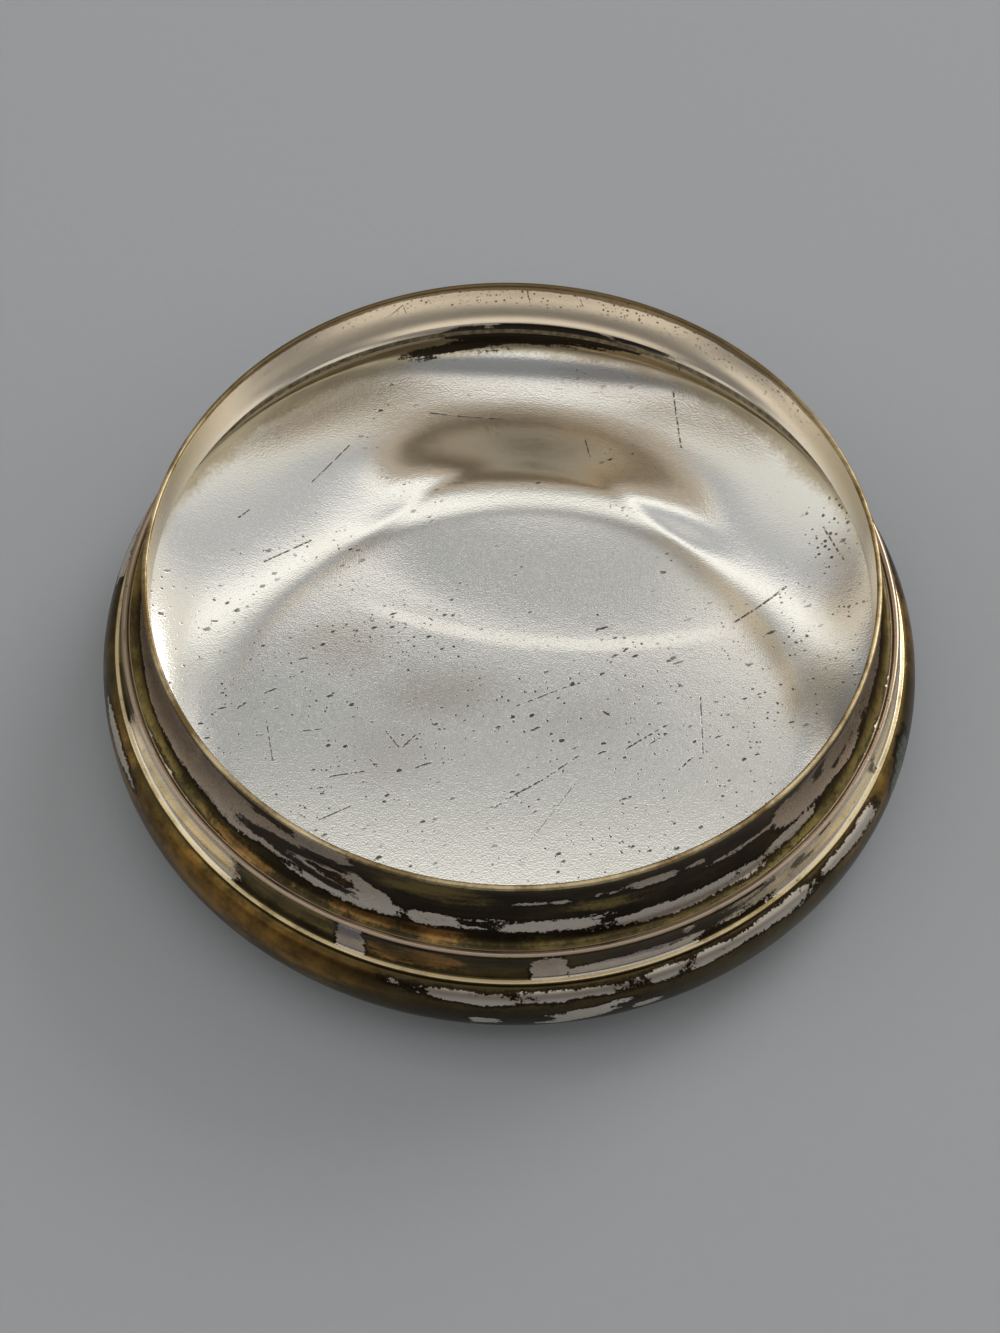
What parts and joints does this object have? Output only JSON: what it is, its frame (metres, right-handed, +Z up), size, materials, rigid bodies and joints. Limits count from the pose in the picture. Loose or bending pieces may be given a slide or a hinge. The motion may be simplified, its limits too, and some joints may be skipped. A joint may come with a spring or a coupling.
{
  "type": "dresser jar lid",
  "caption": "Round silver-plated brass lid of a dresser jar, turned over: a spun collar with a cove, ridge and band soldered on a bulging drawn shell, with a worn, tarnished finish.",
  "frame": {"origin": "centre of the flat side of the panel that the turned-over lid lies on", "axes": "+Z up through the open side, along the axis of the turned shapes; +Y away from the picture's camera, +X to its right"},
  "size_m": [0.0936, 0.0936, 0.0244],
  "materials": {
    "shell_plate": "silver plate, bright satin inside, worn to brown brass outside",
    "collar_plate": "worn silver plate with dark tarnish and bare brass edges",
    "soft_solder": "dull grey soft solder"
  },
  "bodies": {
    "root": {"dome_shell": "shell_plate", "collar_ring": "collar_plate", "solder_seam": "soft_solder"}
  },
  "joints": []
}
